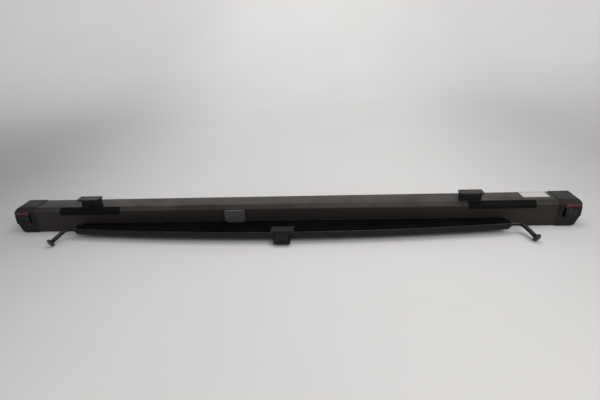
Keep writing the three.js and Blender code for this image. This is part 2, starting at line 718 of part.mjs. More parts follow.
// A solid through a row of closed rings, each with the same number of points in y and z.
function lofted(rings) {
  const flat = rings[0].map((point) => new THREE.Vector2(point.y, point.z));
  const cap = THREE.ShapeUtils.triangulateShape(flat, []);
  const count = flat.length;
  const last = (rings.length - 1) * count;
  const index = [];
  for (const [i, j, k] of cap) index.push(i, k, j, last + i, last + j, last + k);
  for (let ring = 0; ring < rings.length - 1; ring += 1) {
    for (let i = 0; i < count; i += 1) {
      const here = ring * count + i;
      const next = ring * count + ((i + 1) % count);
      index.push(here, next, next + count, here, next + count, here + count);
    }
  }
  const geometry = new THREE.BufferGeometry().setFromPoints(rings.flat());
  return geometry.setIndex(index);
}

// The net's hem lies over the bar, and a skirt of net slopes back from it to the slit.
const HEM_BOTTOM = BAR_TOP + FIT;
const HEM_TOP = HEM_BOTTOM + HEM_THICKNESS;
const HEM_BACK = -HALF_DEPTH - FIT;
const LEAD_BOTTOM = SLIT_BOTTOM + (SLIT_HEIGHT - HEM_THICKNESS) / 2;
const hemFront = barLine(HEM_SETBACK, BAR_HALF - NET_SIDE_GAP);
const hemKink = barLine(BAR_DEPTH, BAR_HALF - NET_SIDE_GAP);
const ringThrough = (x, ...corners) => corners.map(([y, z]) => new THREE.Vector3(x, y, z));
const hemRings = hemFront.map((front, i) =>
  ringThrough(
    front.x,
    [hemKink[i].y, HEM_BOTTOM],
    [hemKink[i].y, HEM_TOP],
    [front.y, HEM_TOP],
    [front.y, HEM_BOTTOM],
  ),
);
const skirtRings = hemKink.map((kink) =>
  ringThrough(
    kink.x,
    [HEM_BACK, LEAD_BOTTOM],
    [HEM_BACK, LEAD_BOTTOM + HEM_THICKNESS],
    [kink.y + FIT, HEM_TOP],
    [kink.y + FIT, HEM_BOTTOM],
  ),
);
place("net_hem", lofted(hemRings), netting());
place("net_skirt", lofted(skirtRings), netting());
place(
  "net_lead",
  box(
    -NET_WIDTH / 2,
    NET_WIDTH / 2,
    HEM_BACK + FIT,
    -HALF_DEPTH + WALL + 2,
    LEAD_BOTTOM,
    LEAD_BOTTOM + HEM_THICKNESS,
  ),
  netting(),
);

// ---- Sprung rods with mushroom heads ----
function rod() {
  const bendX = BAR_HALF + ROD_REACH;
  const armX = bendX + ROD_SPLAY;
  const armY = ROD_Y - ROD_ARM;
  const bend = new THREE.CurvePath();
  const corner = new THREE.Vector3(bendX, ROD_Y, ROD_Z);
  const start = new THREE.Vector3(BAR_HALF - ROD_IN_BAR, ROD_Y, ROD_Z);
  const end = new THREE.Vector3(armX, armY, ROD_Z - ROD_DROP);
  const towardsEnd = end.clone().sub(corner).setLength(ROD_BEND);
  const bendStart = corner.clone().add(new THREE.Vector3(-ROD_BEND, 0, 0));
  const bendEnd = corner.clone().add(towardsEnd);
  bend.add(new THREE.LineCurve3(start, bendStart));
  bend.add(new THREE.QuadraticBezierCurve3(bendStart, corner, bendEnd));
  bend.add(new THREE.LineCurve3(bendEnd, end));
  const section = new THREE.Shape();
  section.absarc(0, 0, ROD_RADIUS, 0, 2 * Math.PI);
  const shank = new THREE.ExtrudeGeometry(section, {
    steps: 36,
    curveSegments: 7,
    extrudePath: bend,
  });
  const headProfile = [
    [0, -6],
    [ROD_RADIUS + 0.3, -6],
    [ROD_RADIUS + 2, -2],
    [HEAD_RADIUS, 0],
    [HEAD_RADIUS, HEAD_THICKNESS * 0.5],
    [HEAD_RADIUS * 0.72, HEAD_THICKNESS],
    [0, HEAD_THICKNESS],
  ];
  const armDirection = end.clone().sub(corner).normalize();
  const turn = new THREE.Quaternion().setFromUnitVectors(new THREE.Vector3(0, 1, 0), armDirection);
  const head = turned(headProfile, "y", [0, 0, 0], 24)
    .applyQuaternion(turn)
    .translate(end.x, end.y, end.z);
  return join(shank, head);
}
placeBoth("rod", rod(), blackSteel);
const rodSpring = coil(ROD_RADIUS - 1, 1, ROD_SPRING_LENGTH - 1.6, 7).translate(
  BAR_HALF - BORE_LENGTH + 1,
  ROD_Y,
  ROD_Z,
);
placeBoth("rod_spring", rodSpring, zincSteel);

// ---- Pull handle clipped over the hem and the front of the bar ----
const barFrontAt = (x) => BAR_RADIUS - BAR_END_FRONT - BAR_BOW - Math.sqrt(BAR_RADIUS ** 2 - x ** 2);
const HANDLE_BACK = barFrontAt(HANDLE_X) - FIT;
const CLIP_BACK = HANDLE_BACK + BAR_DEPTH + 2;
const CLIP_BOTTOM = HEM_TOP + FIT;
const CLIP_TOP = CLIP_BOTTOM + CLIP_THICKNESS;
const handleTip = HANDLE_BACK - HANDLE_REACH;
const handleSide = outline([
  [CLIP_BACK, CLIP_BOTTOM],
  [CLIP_BACK, CLIP_TOP, 0.8],
  [HANDLE_BACK - 2, CLIP_TOP, 1.6],
  [HANDLE_BACK - 3, BAR_TOP - 2, 1],
  [handleTip, HANDLE_LOW + 7.5, 1.2],
  [handleTip + 1, HANDLE_LOW, 1.2],
  [HANDLE_BACK - 2, HANDLE_LOW, 1.2],
  [HANDLE_BACK, BAR_BOTTOM + 1],
  [HANDLE_BACK, CLIP_BOTTOM],
]);
// Half-widths of the handle against its height: the clip, the neck and the flared grip.
const handleHalf = [
  [CLIP_TOP + 1, CLIP_WIDTH / 2],
  [BAR_TOP - 2.5, CLIP_WIDTH / 2],
  [BAR_TOP - 3.5, HANDLE_NECK / 2],
  [HANDLE_LOW + 9, HANDLE_NECK / 2],
  [HANDLE_LOW + 5, HANDLE_WIDTH / 2],
  [HANDLE_LOW - 1, HANDLE_WIDTH / 2 - 1],
];
const handleFace = outline([
  ...handleHalf.map(([z, half]) => [HANDLE_X + half, z]),
  ...handleHalf.map(([z, half]) => [HANDLE_X - half, z]).reverse(),
]);
const handleBlock = common(
  extrude(handleSide, "x", HANDLE_X - CLIP_WIDTH, HANDLE_X + CLIP_WIDTH),
  extrude(handleFace, "y", CLIP_BACK + 1, handleTip - 1),
);
place("pull_handle", handleBlock, blackPlastic());

export default cassette;
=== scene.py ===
import math

import bmesh
import bpy
from mathutils import Matrix, Vector


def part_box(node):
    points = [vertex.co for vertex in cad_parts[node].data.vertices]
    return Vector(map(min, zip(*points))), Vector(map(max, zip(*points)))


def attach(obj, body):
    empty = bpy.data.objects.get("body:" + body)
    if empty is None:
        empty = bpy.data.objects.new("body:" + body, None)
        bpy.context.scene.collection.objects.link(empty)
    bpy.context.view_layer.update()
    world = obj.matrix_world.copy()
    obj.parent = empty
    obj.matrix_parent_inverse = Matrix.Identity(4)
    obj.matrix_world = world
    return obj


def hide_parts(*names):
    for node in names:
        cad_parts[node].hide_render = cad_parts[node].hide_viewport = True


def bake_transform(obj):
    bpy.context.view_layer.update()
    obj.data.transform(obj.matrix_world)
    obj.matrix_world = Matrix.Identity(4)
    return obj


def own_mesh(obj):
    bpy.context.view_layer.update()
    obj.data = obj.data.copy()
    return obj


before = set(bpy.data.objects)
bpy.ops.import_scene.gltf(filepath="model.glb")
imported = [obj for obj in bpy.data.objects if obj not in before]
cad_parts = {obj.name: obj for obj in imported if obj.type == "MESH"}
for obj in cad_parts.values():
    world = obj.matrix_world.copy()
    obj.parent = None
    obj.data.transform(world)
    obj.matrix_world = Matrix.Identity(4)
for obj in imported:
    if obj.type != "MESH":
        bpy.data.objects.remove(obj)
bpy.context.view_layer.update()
SIDES = {"left": -1, "right": 1}


# ---- Camera ----
# It stands in front of the cassette, a little right of its middle, and looks
# down at it through a moderately wide lens.
CAMERA_PLACE = (0.0824, -0.7956, 0.4026)
LOOK_DOWN = math.radians(23.7)
TURN = math.radians(4.08)
TILT = math.radians(-2.61)
camera = bpy.data.objects.new("camera", bpy.data.cameras.new("camera"))
bpy.context.scene.collection.objects.link(camera)
camera.data.sensor_width = 36
camera.data.lens = 26
camera.matrix_world = (
    Matrix.Translation(CAMERA_PLACE)
    @ Matrix.Rotation(TURN, 4, "Z")
    @ Matrix.Rotation(math.pi / 2 - LOOK_DOWN, 4, "X")
    @ Matrix.Rotation(TILT, 4, "Z")
)
bpy.context.scene.camera = camera
bpy.context.scene.view_settings.view_transform = "Standard"


# ---- Paper sweep and studio lights ----
# The table is covered with a sheet of pale paper that curves up well behind
# the object. A small soft box hangs above, a larger one stands at the front
# right, and a third lights the paper's upright part.
def put(tree, kind, values=None, links=None, **settings):
    """Adds a shader node, fills its sockets and joins other nodes to them."""
    node = tree.nodes.new("ShaderNode" + kind)
    for name, setting in settings.items():
        setattr(node, name, setting)
    for key, value in (values or {}).items():
        node.inputs[key].default_value = value
    for key, output in (links or {}).items():
        tree.links.new(output, node.inputs[key])
    return node


def new_material(name, roughness, metallic=0.0, specular=0.5):
    """A material with its Principled shader ready to be fed."""
    material = bpy.data.materials.new(name)
    material.use_nodes = True
    shader = material.node_tree.nodes["Principled BSDF"]
    shader.inputs["Roughness"].default_value = roughness
    shader.inputs["Metallic"].default_value = metallic
    shader.inputs["Specular IOR Level"].default_value = specular
    return material, material.node_tree, shader


def mesh_object(name, bm):
    """Turns a finished bmesh into an object in the scene."""
    mesh = bpy.data.meshes.new(name)
    bm.to_mesh(mesh)
    bm.free()
    made = bpy.data.objects.new(name, mesh)
    bpy.context.scene.collection.objects.link(made)
    return made


def of_kind(geom, kind):
    """The vertices, edges or faces among what an operator gave back."""
    return [part for part in geom if isinstance(part, kind)]


def shade_smooth(piece):
    """Marks every face of an object as smooth."""
    for face in piece.data.polygons:
        face.use_smooth = True


SWEEP_WIDTH = 18.0
SWEEP_FRONT = -8.0
SWEEP_BEND_START = 1.15
SWEEP_BEND_RADIUS = 1.3
SWEEP_BEND_ANGLE = math.radians(80)
SWEEP_WALL_RISE = (0, 0.6, 3.4)
bm = bmesh.new()
front_left = bm.verts.new((-SWEEP_WIDTH / 2, SWEEP_FRONT, 0))
front_right = bm.verts.new((SWEEP_WIDTH / 2, SWEEP_FRONT, 0))
sweep_edge = bm.edges.new((front_left, front_right))
flat = bmesh.ops.extrude_edge_only(bm, edges=[sweep_edge])["geom"]
bmesh.ops.translate(
    bm,
    verts=of_kind(flat, bmesh.types.BMVert),
    vec=(0, SWEEP_BEND_START - SWEEP_FRONT, 0),
)
bend_edge = of_kind(flat, bmesh.types.BMEdge)[:1]
curved = bmesh.ops.spin(
    bm,
    geom=bend_edge + list(bend_edge[0].verts),
    cent=(0, SWEEP_BEND_START, SWEEP_BEND_RADIUS),
    axis=(1, 0, 0),
    angle=SWEEP_BEND_ANGLE,
    steps=24,
)["geom_last"]
wall_edge = of_kind(curved, bmesh.types.BMEdge)
wall = bmesh.ops.extrude_edge_only(bm, edges=wall_edge)["geom"]
bmesh.ops.translate(bm, verts=of_kind(wall, bmesh.types.BMVert), vec=SWEEP_WALL_RISE)
bmesh.ops.recalc_face_normals(bm, faces=bm.faces)
sweep = mesh_object("paper_sweep", bm)
shade_smooth(sweep)

paper, tree, shader = new_material("pale_paper", roughness=0.9, specular=0.2)
place = put(tree, "TexCoord")
mottle = put(
    tree,
    "TexNoise",
    values={"Scale": 3.2, "Detail": 3.0, "Roughness": 0.45},
    links={"Vector": place.outputs["Object"]},
)
tone = put(
    tree,
    "Mix",
    data_type="RGBA",
    values={"A": (0.78, 0.765, 0.745, 1), "B": (0.84, 0.825, 0.81, 1)},
    links={"Factor": mottle.outputs["Fac"]},
)
# Painted shade darkens the paper towards its sides, where the light falls off:
# more so on the left, and less so far back. Each row says where a side starts, where it
# ends and what is left.
across = put(tree, "SeparateXYZ", links={"Vector": place.outputs["Object"]})
less_far_back = put(
    tree,
    "MapRange",
    values={"From Min": 0.4, "From Max": 1.7, "To Min": 1.0, "To Max": 0.3},
    links={"Value": across.outputs["Y"]},
)
side_shaded = tone
PAINTED_SIDE_SHADE = ((-0.22, -0.98, 0.56), (0.2, 0.95, 0.68))
for shade_start, edge, light_left in PAINTED_SIDE_SHADE:
    side_shade = put(
        tree,
        "MapRange",
        interpolation_type="SMOOTHSTEP",
        values={
            "From Min": shade_start,
            "From Max": edge,
            "To Min": 1.0,
            "To Max": light_left,
        },
        links={"Value": across.outputs["X"]},
    )
    side_shaded = put(
        tree,
        "Mix",
        data_type="RGBA",
        blend_type="MULTIPLY",
        links={
            "Factor": less_far_back.outputs["Result"],
            "A": side_shaded.outputs["Result"],
            "B": side_shade.outputs["Result"],
        },
    )
creases = put(
    tree,
    "Bump",
    values={"Strength": 0.25, "Distance": 0.02},
    links={"Height": mottle.outputs["Fac"]},
)
tree.links.new(side_shaded.outputs["Result"], shader.inputs["Base Color"])
tree.links.new(creases.outputs["Normal"], shader.inputs["Normal"])
sweep.data.materials.append(paper)


def soft_box(name, place, aim, size, power, color):
    """An area light turned towards a point."""
    light = bpy.data.lights.new(name, "AREA")
    light.shape = "RECTANGLE"
    light.size, light.size_y = size
    light.energy = power
    light.color = color
    lamp = bpy.data.objects.new(name, light)
    bpy.context.scene.collection.objects.link(lamp)
    lamp.location = place
    towards = Vector(aim) - Vector(place)
    lamp.rotation_euler = towards.to_track_quat("-Z", "Y").to_euler()


soft_box(
    "overhead_box",
    place=(0.25, 0.12, 1.1),
    aim=(0.16, 0.0, 0),
    size=(0.8, 0.5),
    power=3.4,
    color=(1, 0.985, 0.96),
)
soft_box(
    "front_fill",
    place=(0.9, -1.3, 1.25),
    aim=(0.15, 0, 0),
    size=(1.5, 0.9),
    power=13.5,
    color=(1, 0.98, 0.95),
)
soft_box(
    "paper_light",
    place=(0.2, 1.1, 2.0),
    aim=(0.2, 2.5, 1.3),
    size=(6.5, 0.4),
    power=44,
    color=(1, 0.99, 0.97),
)
world = bpy.data.worlds.new("studio_room")
bpy.context.scene.world = world
world.use_nodes = True
room_light = world.node_tree.nodes["Background"]
room_light.inputs["Color"].default_value = (0.93, 0.95, 1, 1)
room_light.inputs["Strength"].default_value = 0.4


# ---- Extruded housing ----
# A channel of aluminium, extruded in one length, cut for the net, the hooks
# and the release tab, and anodised a dark brown-grey. It holds all the rest.
SEAM_DISTANCE = 2e-6
FLAT_ANGLE = math.radians(0.6)
SHARP_ANGLE = math.radians(33)


def softened(node, name, rounding, segments=2, trim=None):
    """A copy of a CAD node with its seams merged and its edges rounded."""
    bm = bmesh.new()
    bm.from_mesh(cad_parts[node].data)
    bmesh.ops.remove_doubles(bm, verts=bm.verts, dist=SEAM_DISTANCE)
    if trim:
        trim(bm)
    bmesh.ops.dissolve_limit(
        bm, angle_limit=FLAT_ANGLE, verts=bm.verts, edges=bm.edges
    )
    piece = mesh_object(name, bm)
    if rounding:
        rounded = piece.modifiers.new("rounded_edges", "BEVEL")
        rounded.width = rounding
        rounded.segments = segments
        rounded.limit_method = "ANGLE"
        rounded.angle_limit = SHARP_ANGLE
        rounded.harden_normals = True
    shade_smooth(piece)
    piece.data.set_sharp_from_angle(angle=SHARP_ANGLE)
    return piece


def finish_piece(piece, body, slot, material, *nodes):
    """Paints a piece and hangs it on its body in place of its CAD nodes."""
    piece.data.materials.clear()
    piece.data.materials.append(material)
    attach(piece, body)
    if nodes:
        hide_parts(*nodes)


def dress(node, material):
    """Gives a CAD node that keeps its shape a better material."""
    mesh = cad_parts[node].data
    mesh.materials.clear()
    mesh.materials.append(material)
    for face in mesh.polygons:
        face.use_smooth = False


def new_group(name, inputs, outputs):
    """A shader node group with its sockets."""
    group = bpy.data.node_groups.new(name, "ShaderNodeTree")
    for label, value in inputs.items():
        socket = group.interface.new_socket(
            label, in_out="INPUT", socket_type="NodeSocketFloat"
        )
        socket.default_value = value
    for label in outputs:
        group.interface.new_socket(
            label, in_out="OUTPUT", socket_type="NodeSocketFloat"
        )
    start = group.nodes.new("NodeGroupInput")
    end = group.nodes.new("NodeGroupOutput")
    return group, start, end


# Handling rubs the finish off edges, and the same mask paints highlights on edges:
# a mask of the edges, broken up by noise.
edge_wear_and_highlight, start, end = new_group(
    "edge_wear_and_highlight", {"Width": 0.001, "Breakup": 60.0}, ["Mask"]
)
rounded = put(edge_wear_and_highlight, "Bevel", samples=4, links={"Radius": start.outputs["Width"]})
surface = put(edge_wear_and_highlight, "NewGeometry")
facing = put(
    edge_wear_and_highlight,
    "VectorMath",
    operation="DOT_PRODUCT",
    links={0: rounded.outputs["Normal"], 1: surface.outputs["Normal"]},
)
edge = put(
    edge_wear_and_highlight,
    "MapRange",
    values={"From Min": 0.998, "From Max": 0.9, "To Min": 0.0, "To Max": 1.0},
    links={"Value": facing.outputs["Value"]},
)
place = put(edge_wear_and_highlight, "TexCoord")
patchy = put(
    edge_wear_and_highlight,
    "TexNoise",
    values={"Detail": 4.0},
    links={"Vector": place.outputs["Object"], "Scale": start.outputs["Breakup"]},
)
broken = put(
    edge_wear_and_highlight,
    "MapRange",
    values={"From Min": 0.42, "From Max": 0.62},
    links={"Value": patchy.outputs["Fac"]},
)
mask = put(
    edge_wear_and_highlight,
    "Math",
    operation="MULTIPLY",
    links={0: edge.outputs["Result"], 1: broken.outputs["Result"]},
)
edge_wear_and_highlight.links.new(mask.outputs["Value"], end.inputs["Mask"])

# Dust settles on faces that look up, in soft patches.
fine_dust, start, end = new_group("fine_dust", {"Amount": 0.3}, ["Mask"])
surface = put(fine_dust, "NewGeometry")
upward = put(fine_dust, "SeparateXYZ", links={"Vector": surface.outputs["Normal"]})
facing_up = put(
    fine_dust,
    "MapRange",
    values={"From Min": 0.35, "From Max": 1.0},
    links={"Value": upward.outputs["Z"]},
)
place = put(fine_dust, "TexCoord")
patches = put(
    fine_dust,
    "TexNoise",
    values={"Scale": 22.0, "Detail": 6.0, "Roughness": 0.65},
    links={"Vector": place.outputs["Object"]},
)
patchiness = put(
    fine_dust,
    "MapRange",
    values={"From Min": 0.35, "From Max": 0.7},
    links={"Value": patches.outputs["Fac"]},
)
settled = put(
    fine_dust,
    "Math",
    operation="MULTIPLY",
    links={0: facing_up.outputs["Result"], 1: patchiness.outputs["Result"]},
)
scaled = put(
    fine_dust,
    "Math",
    operation="MULTIPLY",
    links={0: settled.outputs["Value"], 1: start.outputs["Amount"]},
)
fine_dust.links.new(scaled.outputs["Value"], end.inputs["Mask"])


def use(tree, group, **values):
    """Places a shared effect in a material with its own values."""
    node = tree.nodes.new("ShaderNodeGroup")
    node.node_tree = group
    for name, value in values.items():
        node.inputs[name].default_value = value
    return node


anodised, tree, shader = new_material(
    "brown_grey_anodising", roughness=0.42, metallic=0.15, specular=0.24
)
place = put(tree, "TexCoord")
lengthwise = put(
    tree,
    "Mapping",
    values={"Scale": (1.5, 900, 900)},
    links={"Vector": place.outputs["Object"]},
)
draw_lines = put(
    tree,
    "TexNoise",
    values={"Scale": 1.0, "Detail": 3.0, "Roughness": 0.6},
    links={"Vector": lengthwise.outputs["Vector"]},
)
cloudy = put(
    tree,
    "TexNoise",
    values={"Scale": 5.0, "Detail": 3.0},
    links={"Vector": place.outputs["Object"]},
)
base = put(
    tree,
    "Mix",
    data_type="RGBA",
    values={"A": (0.023, 0.0195, 0.017, 1), "B": (0.032, 0.0275, 0.024, 1)},
    links={"Factor": cloudy.outputs["Fac"]},
)
lined = put(
    tree,
    "Mix",
    data_type="RGBA",
    blend_type="OVERLAY",
    values={"Factor": 0.35},
    links={"A": base.outputs["Result"], "B": draw_lines.outputs["Fac"]},
)
# The light edges are partly rubbed anodising and partly a painted highlight.
edge_mask = use(tree, edge_wear_and_highlight, Width=0.0009, Breakup=45.0)
rubbed_and_highlit = put(
    tree,
    "Mix",
    data_type="RGBA",
    values={"B": (0.2, 0.19, 0.18, 1)},
    links={"Factor": edge_mask.outputs["Mask"], "A": lined.outputs["Result"]},
)
dust = use(tree, fine_dust, Amount=0.12)
dusty = put(
    tree,
    "Mix",
    data_type="RGBA",
    values={"B": (0.3, 0.28, 0.25, 1)},
    links={"Factor": dust.outputs["Mask"], "A": rubbed_and_highlit.outputs["Result"]},
)
gloss = put(
    tree,
    "MapRange",
    values={"To Min": 0.36, "To Max": 0.52},
    links={"Value": cloudy.outputs["Fac"]},
)
fine_ridges = put(
    tree,
    "Bump",
    values={"Strength": 0.12, "Distance": 0.0002},
    links={"Height": draw_lines.outputs["Fac"]},
)
tree.links.new(dusty.outputs["Result"], shader.inputs["Base Color"])
tree.links.new(gloss.outputs["Result"], shader.inputs["Roughness"])
tree.links.new(fine_ridges.outputs["Normal"], shader.inputs["Normal"])

housing = softened("housing_profile", "housing", rounding=0.0006)
finish_piece(housing, "housing", "housing", anodised, "housing_profile")


# ---- Net roller and its winding spring ----
# A zinc-plated tube turns on a moulded axle and bush between two bearing
# plates. The long coil spring inside it winds the net back in.
def moulded_plastic(
    name,
    dark,
    light,
    roughness,
    grain=0.0011,
    edge_tint=(0.16, 0.16, 0.16, 1),
    dust_amount=0.1,
):
    """Fine-grained moulded plastic with a little dust; wear and a painted highlight
    lighten its edges.
    """
    material, tree, shader = new_material(name, roughness, specular=0.2)
    place = put(tree, "TexCoord")
    texture = use(tree, moulded_grain, Size=grain)
    cloudy = put(
        tree,
        "TexNoise",
        values={"Scale": 14.0, "Detail": 4.0},
        links={"Vector": place.outputs["Object"]},
    )
    base = put(
        tree,
        "Mix",
        data_type="RGBA",
        values={"A": dark, "B": light},
        links={"Factor": cloudy.outputs["Fac"]},
    )
    edge_mask = use(tree, edge_wear_and_highlight, Width=0.0007, Breakup=80.0)
    rubbed_and_highlit = put(
        tree,
        "Mix",
        data_type="RGBA",
        values={"B": edge_tint},
        links={"Factor": edge_mask.outputs["Mask"], "A": base.outputs["Result"]},
    )
    dust = use(tree, fine_dust, Amount=dust_amount)
    dusty = put(
        tree,
        "Mix",
        data_type="RGBA",
        values={"B": (0.26, 0.25, 0.235, 1)},
        links={"Factor": dust.outputs["Mask"], "A": rubbed_and_highlit.outputs["Result"]},
    )
    gloss = put(
        tree,
        "MapRange",
        values={"To Min": roughness - 0.08, "To Max": roughness + 0.1},
        links={"Value": texture.outputs["Height"]},
    )
    pebbled = put(
        tree,
        "Bump",
        values={"Strength": 0.22, "Distance": 0.00015},
        links={"Height": texture.outputs["Height"]},
    )
    tree.links.new(dusty.outputs["Result"], shader.inputs["Base Color"])
    tree.links.new(gloss.outputs["Result"], shader.inputs["Roughness"])
    tree.links.new(pebbled.outputs["Normal"], shader.inputs["Normal"])
    return material


# The mould's spark-eroded grain: small rounded pebbles of two sizes.
moulded_grain, start, end = new_group("moulded_grain", {"Size": 0.001}, ["Height"])
place = put(moulded_grain, "TexCoord")
density = put(
    moulded_grain,
    "Math",
    operation="DIVIDE",
    values={0: 1.0},
    links={1: start.outputs["Size"]},
)
pebbles = put(
    moulded_grain,
    "TexVoronoi",
    feature="SMOOTH_F1",
    links={"Vector": place.outputs["Object"], "Scale": density.outputs["Value"]},
)
uneven = put(
    moulded_grain,
    "TexNoise",
    values={"Detail": 3.0},
    links={"Vector": place.outputs["Object"], "Scale": density.outputs["Value"]},
)
grain_height = put(
    moulded_grain,
    "Math",
    operation="MULTIPLY",
    links={0: pebbles.outputs["Distance"], 1: uneven.outputs["Fac"]},
)
raised = put(
    moulded_grain,
    "Math",
    operation="MULTIPLY",
    values={1: 2.0},
    links={0: grain_height.outputs["Value"]},
)
moulded_grain.links.new(raised.outputs["Value"], end.inputs["Height"])

zinc, tree, shader = new_material("zinc_plating", roughness=0.35, metallic=0.95)
place = put(tree, "TexCoord")
spangle = put(
    tree,
    "TexVoronoi",
    values={"Scale": 600.0},
    links={"Vector": place.outputs["Object"]},
)
plated = put(
    tree,
    "Mix",
    data_type="RGBA",
    values={"A": (0.5, 0.5, 0.48, 1), "B": (0.66, 0.66, 0.63, 1)},
    links={"Factor": spangle.outputs["Distance"]},
)
cloudy = put(
    tree,
    "TexNoise",
    values={"Scale": 90.0, "Detail": 5.0},
    links={"Vector": place.outputs["Object"]},
)
gloss = put(
    tree,
    "MapRange",
    values={"To Min": 0.26, "To Max": 0.5},
    links={"Value": cloudy.outputs["Fac"]},
)
tree.links.new(plated.outputs["Result"], shader.inputs["Base Color"])
tree.links.new(gloss.outputs["Result"], shader.inputs["Roughness"])

cap_charcoal = moulded_plastic(
    "charcoal_plastic",
    (0.006, 0.006, 0.0057, 1),
    (0.0095, 0.0095, 0.009, 1),
    roughness=0.5,
)
for node in ("roller_tube", "winding_spring"):
    dress(node, zinc)
for node in ("roller_bush", "roller_axle", "left_bearing_plate", "right_bearing_plate"):
    dress(node, cap_charcoal)


def coated_steel(name, dark, light, roughness, specular, dust_amount):
    """Black-coated steel with a slight orange peel, rubbed at its edges."""
    material, tree, shader = new_material(name, roughness, specular=specular)
    place = put(tree, "TexCoord")
    orange_peel = put(
        tree,
        "TexNoise",
        values={"Scale": 420.0, "Detail": 2.0},
        links={"Vector": place.outputs["Object"]},
    )
    coat = put(
        tree,
        "Mix",
        data_type="RGBA",
        values={"A": dark, "B": light},
        links={"Factor": orange_peel.outputs["Fac"]},
    )
    edge_mask = use(tree, edge_wear_and_highlight, Width=0.0008, Breakup=120.0)
    chipped = put(
        tree,
        "Mix",
        data_type="RGBA",
        values={"B": (0.16, 0.155, 0.15, 1)},
        links={"Factor": edge_mask.outputs["Mask"], "A": coat.outputs["Result"]},
    )
    dust = use(tree, fine_dust, Amount=dust_amount)
    dusty = put(
        tree,
        "Mix",
        data_type="RGBA",
        values={"B": (0.28, 0.27, 0.25, 1)},
        links={"Factor": dust.outputs["Mask"], "A": chipped.outputs["Result"]},
    )
    gloss = put(
        tree,
        "MapRange",
        values={"To Min": roughness - 0.08, "To Max": roughness + 0.1},
        links={"Value": orange_peel.outputs["Fac"]},
    )
    coat_skin = put(
        tree,
        "Bump",
        values={"Strength": 0.12, "Distance": 0.0002},
        links={"Height": orange_peel.outputs["Fac"]},
    )
    tree.links.new(dusty.outputs["Result"], shader.inputs["Base Color"])
    tree.links.new(gloss.outputs["Result"], shader.inputs["Roughness"])
    tree.links.new(coat_skin.outputs["Normal"], shader.inputs["Normal"])
    return material


black_coat = coated_steel(
    "black_coated_steel",
    (0.004, 0.004, 0.0038, 1),
    (0.0075, 0.0073, 0.007, 1),
    roughness=0.34,
    specular=0.2,
    dust_amount=0.1,
)
dress("spring_arbor", black_coat)


# ---- Netting wound on the roller ----
# The net is 0.84 m wide and 0.8 m long, knitted from black polyester cord. It
# is wound on the tube in about eight turns.
NET_LENGTH = 0.8
ROLL_STEPS = 208
ROLL_COLUMNS = 12
GAP_TO_TUBE = 0.0004
GAP_TO_SURFACE = 0.0003
netting, tree, shader = new_material("black_net_cord", roughness=0.85, specular=0.3)
place = put(tree, "TexCoord")
strands = put(
    tree,
    "TexNoise",
    values={"Scale": 900.0, "Detail": 4.0},
    links={"Vector": place.outputs["Object"]},
)
cord_black = put(
    tree,
    "Mix",
    data_type="RGBA",
    values={"A": (0.006, 0.006, 0.006, 1), "B": (0.02, 0.02, 0.021, 1)},
    links={"Factor": strands.outputs["Fac"]},
)
twisted = put(
    tree,
    "Bump",
    values={"Strength": 0.5, "Distance": 0.0003},
    links={"Height": strands.outputs["Fac"]},
)
tree.links.new(cord_black.outputs["Result"], shader.inputs["Base Color"])
tree.links.new(twisted.outputs["Normal"], shader.inputs["Normal"])

roll_low, roll_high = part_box("net_roll")
tube_low, tube_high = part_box("roller_tube")
roll_centre = (roll_low + roll_high) / 2
net_width = roll_high.x - roll_low.x
roll_inner = (tube_high.z - tube_low.z) / 2 + GAP_TO_TUBE
roll_outer = (roll_high.z - roll_low.z) / 2 - GAP_TO_SURFACE
roll_turns = NET_LENGTH / (math.pi * (roll_inner + roll_outer))
bm = bmesh.new()
bmesh.ops.create_grid(bm, x_segments=ROLL_COLUMNS, y_segments=ROLL_STEPS, size=0.5)
for vert in bm.verts:
    along = vert.co.y + 0.5
    radius = roll_inner + (roll_outer - roll_inner) * along
    turn = 2 * math.pi * roll_turns * (along - 1) - math.pi / 2
    vert.co = (
        roll_centre.x + vert.co.x * net_width,
        roll_centre.y + radius * math.cos(turn),
        roll_centre.z + radius * math.sin(turn),
    )
wound_net = mesh_object("wound_net", bm)
shade_smooth(wound_net)
finish_piece(wound_net, "roller", "netting", netting, "net_roll")


# ---- End caps ----
# Moulded charcoal caps close the housing's ends. Each carries a grey guide
# plate, a red mark that shows when it isn't locked, and a sprung slider.
trim_grey = moulded_plastic(
    "grey_trim_plastic",
    (0.0085, 0.0085, 0.008, 1),
    (0.0125, 0.0125, 0.012, 1),
    roughness=0.52,
)
signal_red, tree, shader = new_material("signal_red_plastic", roughness=0.4)
place = put(tree, "TexCoord")
faded = put(
    tree,
    "TexNoise",
    values={"Scale": 160.0, "Detail": 3.0},
    links={"Vector": place.outputs["Object"]},
)
red = put(
    tree,
    "Mix",
    data_type="RGBA",
    values={"A": (0.1, 0.007, 0.015, 1), "B": (0.15, 0.012, 0.024, 1)},
    links={"Factor": faded.outputs["Fac"]},
)
texture = use(tree, moulded_grain, Size=0.0008)
pebbled = put(
    tree,
    "Bump",
    values={"Strength": 0.1, "Distance": 0.0001},
    links={"Height": texture.outputs["Height"]},
)
tree.links.new(red.outputs["Result"], shader.inputs["Base Color"])
tree.links.new(pebbled.outputs["Normal"], shader.inputs["Normal"])


def sprung_coil(node, name, body):
    """A coil spring hung on a body, with a mesh of its own."""
    coil = softened(node, name, rounding=0)
    finish_piece(coil, body, "zinc_steel", zinc, node)
    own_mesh(coil)


